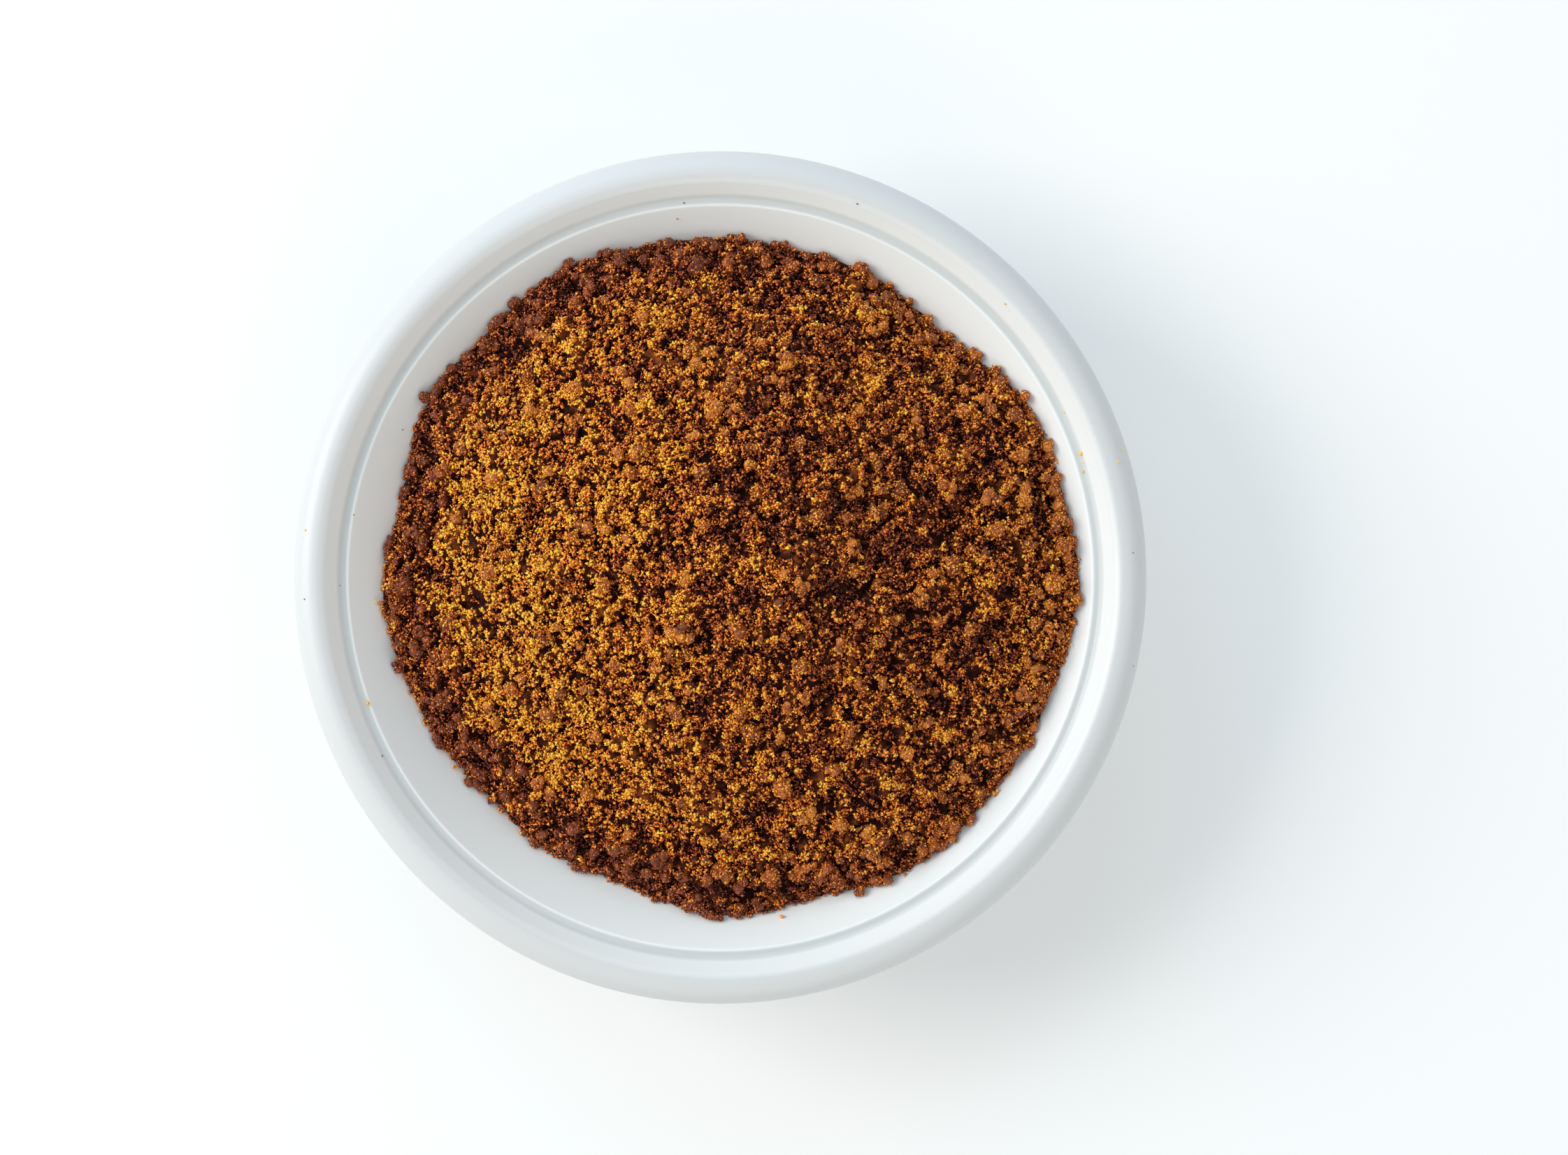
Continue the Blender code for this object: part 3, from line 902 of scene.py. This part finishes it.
# stops run from dark brown to pale gold
jaggeryLooks = {
    # the core's stops are dark: painted shade for the crevices where it shows
    "core": {
        "from": (-2.2, 0.2), "crystalWidth": 0.5 * mm, "breakUp": 0.3,
        "grainSpan": (0.35, 0.65), "unevenness": 0.5,
        "stops": (
            (0.0, (0.013, 0.003, 0.003)), (0.5, (0.048, 0.011, 0.006)), (1.0, (0.27, 0.07, 0.011))),
        "roughness": (0.7, 0.9), "bump": 0.8, "gloss": 0.1},
    "crystal": {
        "from": (0.0, 1.0), "crystalWidth": 0.30 * mm, "breakUp": 0.1,
        "grainSpan": (0.35, 0.65), "unevenness": 0.5,
        "stops": (
            (0.0, (0.034, 0.007, 0.006)), (0.3, (0.30, 0.052, 0.010)), (0.6, (0.80, 0.172, 0.013)),
            (0.8, (1.0, 0.335, 0.022)), (1.0, (1.0, 0.72, 0.052))),
        "roughness": (0.22, 0.42), "bump": 0.2, "gloss": 0.55},
    "lump": {
        "from": (0.0, 1.0), "crystalWidth": 0.45 * mm, "breakUp": 0.42,
        "grainSpan": (0.35, 0.65), "unevenness": 0.5,
        "stops": (
            (0.0, (0.042, 0.009, 0.008)), (0.3, (0.18, 0.037, 0.011)), (0.6, (0.40, 0.104, 0.019)),
            (1.0, (0.68, 0.26, 0.034))),
        "roughness": (0.35, 0.6), "bump": 0.7, "gloss": 0.3},
}


glazeLook = {
    "span": (65.0 * mm, 70.4 * mm),  # from the wall over the groove to the rolled rim
    "tintsAndShade": (                       # a share of the span, and the colour there, darker in the groove and on the rolled rim as painted shade
        (0.0, (0.770, 0.782, 0.774)), (0.12, (0.753, 0.766, 0.762)), (0.20, (0.545, 0.562, 0.562)),
        (0.36, (0.545, 0.562, 0.562)), (0.48, (0.763, 0.776, 0.768)), (0.72, (0.756, 0.768, 0.760)),
        (1.0, (0.588, 0.588, 0.590))),
    "roughness": (0.36, 0.48),
    "cloudScale": 28.0,
    "cloudDetail": 3.0,
    "wander": 0.3 * mm,              # of the tints' borders
    "rippleScale": 260.0,
    "rippleStrength": 0.05,
    "rippleDepth": 0.2 * mm,
}


def glazeMaterial():
    # painted shade: the glaze is painted darker in the groove and on the rolled rim, paler on the inner
    # wall and ledge
    material, nodes, links = newMaterial("white_glaze")
    shader = nodes["Principled BSDF"]
    place = nodes.new("ShaderNodeTexCoord")
    flat = nodes.new("ShaderNodeVectorMath")
    flat.operation = "MULTIPLY"
    flat.inputs[1].default_value = (1.0, 1.0, 0.0)
    links.new(place.outputs["Object"], flat.inputs[0])
    radius = nodes.new("ShaderNodeVectorMath")
    radius.operation = "LENGTH"
    links.new(flat.outputs["Vector"], radius.inputs[0])
    cloud = nodes.new("ShaderNodeTexNoise")
    cloud.inputs["Scale"].default_value = glazeLook["cloudScale"]
    cloud.inputs["Detail"].default_value = glazeLook["cloudDetail"]
    links.new(place.outputs["Object"], cloud.inputs["Vector"])
    unevenness = nodes.new("ShaderNodeMath")
    unevenness.operation = "MULTIPLY_ADD"
    unevenness.inputs[1].default_value = glazeLook["wander"]
    links.new(cloud.outputs["Fac"], unevenness.inputs[0])
    links.new(radius.outputs["Value"], unevenness.inputs[2])
    outward = nodes.new("ShaderNodeMapRange")
    outward.inputs["From Min"].default_value = glazeLook["span"][0]
    outward.inputs["From Max"].default_value = glazeLook["span"][1]
    links.new(unevenness.outputs["Value"], outward.inputs["Value"])
    tint = addRamp(nodes, glazeLook["tintsAndShade"])
    links.new(outward.outputs["Result"], tint.inputs["Fac"])
    links.new(tint.outputs["Color"], shader.inputs["Base Color"])
    rough = nodes.new("ShaderNodeMapRange")
    rough.inputs["To Min"].default_value = glazeLook["roughness"][0]
    rough.inputs["To Max"].default_value = glazeLook["roughness"][1]
    links.new(cloud.outputs["Fac"], rough.inputs["Value"])
    links.new(rough.outputs["Result"], shader.inputs["Roughness"])
    ripple = nodes.new("ShaderNodeTexNoise")
    ripple.inputs["Scale"].default_value = glazeLook["rippleScale"]
    links.new(place.outputs["Object"], ripple.inputs["Vector"])
    bump = nodes.new("ShaderNodeBump")
    bump.inputs["Strength"].default_value = glazeLook["rippleStrength"]
    bump.inputs["Distance"].default_value = glazeLook["rippleDepth"]
    links.new(ripple.outputs["Fac"], bump.inputs["Height"])
    links.new(bump.outputs["Normal"], shader.inputs["Normal"])
    return material


def dress(piece, material):
    piece.data.materials.clear()
    piece.data.materials.append(material)
    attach(piece, "root")


dress(glazedBowl, glazeMaterial())
dress(powderCore, jaggeryMaterial("powder_core", jaggeryLooks["core"]))
crystalMaterial = jaggeryMaterial("crystals", jaggeryLooks["crystal"])
for piece in crystalPieces + [strayCrumbs]:
    dress(piece, crystalMaterial)
lumpMaterial = jaggeryMaterial("lumps", jaggeryLooks["lump"])
for piece in (largeLumps, smallLumps):
    dress(piece, lumpMaterial)
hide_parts("bowl")
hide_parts("jaggery_heap")
print("materials set")


# floor, light and camera
studio = {
    "floorSize": 12.0,
    "floorTone": (0.736, 0.736, 0.736),
    "floorGlow": 0.15,
    "floorRoughness": 0.9,
    "lamps": (                       # name, azimuth from +X, elevation, distance, size, power, tone
        ("key", 166.0, 34.0, 1.60, 0.90, 18.8, (1.0, 0.975, 0.92)),
        ("upperFill", 110.0, 32.0, 1.80, 1.40, 10.4, (0.53, 0.80, 1.0)),
        ("lowerFill", -80.0, 32.0, 1.80, 1.20, 6.5, (1.0, 0.94, 0.81)),
        ("rightFill", 5.0, 52.0, 1.80, 1.20, 3.4, (1.0, 0.94, 0.80))),
    "skyTone": (0.87, 0.95, 1.0),
    "horizonStrength": 0.925,
    "zenithStrength": 0.50,
    "cameraHeight": 0.520,           # above the rim
    "cameraX": 11.21 * mm,
    "frameWidth": 273.7 * mm,        # of the picture, at the rim's level
    "sensorWidth": 36.0,
    "clipStart": 0.01,
}


def makeFloor():
    bpy.ops.mesh.primitive_plane_add(size=studio["floorSize"], location=(0.0, 0.0, 0.0))
    floor = bpy.context.object
    floor.name = "floor"
    material, nodes, links = newMaterial("floor")
    shader = nodes["Principled BSDF"]
    shader.inputs["Base Color"].default_value = (*studio["floorTone"], 1.0)
    shader.inputs["Roughness"].default_value = studio["floorRoughness"]
    shader.inputs["Emission Color"].default_value = (*studio["floorTone"], 1.0)
    shader.inputs["Emission Strength"].default_value = studio["floorGlow"]
    floor.data.materials.append(material)


def makeLamps():
    for name, azimuth, elevation, distance, size, power, tone in studio["lamps"]:
        turn = math.radians(azimuth)
        tilt = math.radians(elevation)
        level = math.cos(tilt)
        direction = Vector((level * math.cos(turn), level * math.sin(turn), math.sin(tilt)))
        data = bpy.data.lights.new(name, "AREA")
        data.energy = power
        data.size = size
        data.color = tone
        lamp = bpy.data.objects.new(name, data)
        lamp.location = Vector((0.0, 0.0, rimHeight)) + direction * distance
        lamp.rotation_euler = direction.to_track_quat("Z", "Y").to_euler()
        bpy.context.scene.collection.objects.link(lamp)


def makeSky():
    # brighter near the horizon than above
    world = bpy.data.worlds.new("sky")
    bpy.context.scene.world = world
    world.use_nodes = True
    nodes, links = world.node_tree.nodes, world.node_tree.links
    background = nodes["Background"]
    background.inputs["Color"].default_value = (*studio["skyTone"], 1.0)
    direction = nodes.new("ShaderNodeTexCoord")
    parts = nodes.new("ShaderNodeSeparateXYZ")
    strength = nodes.new("ShaderNodeMapRange")
    strength.inputs["To Min"].default_value = studio["horizonStrength"]
    strength.inputs["To Max"].default_value = studio["zenithStrength"]
    links.new(direction.outputs["Generated"], parts.inputs["Vector"])
    links.new(parts.outputs["Z"], strength.inputs["Value"])
    links.new(strength.outputs["Result"], background.inputs["Strength"])


def makeCamera():
    data = bpy.data.cameras.new("camera")
    data.sensor_width = studio["sensorWidth"]
    data.lens = data.sensor_width * studio["cameraHeight"] / studio["frameWidth"]
    data.clip_start = studio["clipStart"]
    camera = bpy.data.objects.new("camera", data)
    camera.location = (studio["cameraX"], 0.0, rimHeight + studio["cameraHeight"])
    bpy.context.scene.collection.objects.link(camera)
    bpy.context.scene.camera = camera


makeFloor()
makeLamps()
makeSky()
makeCamera()
bpy.context.scene.view_settings.view_transform = "Standard"
print("studio set")
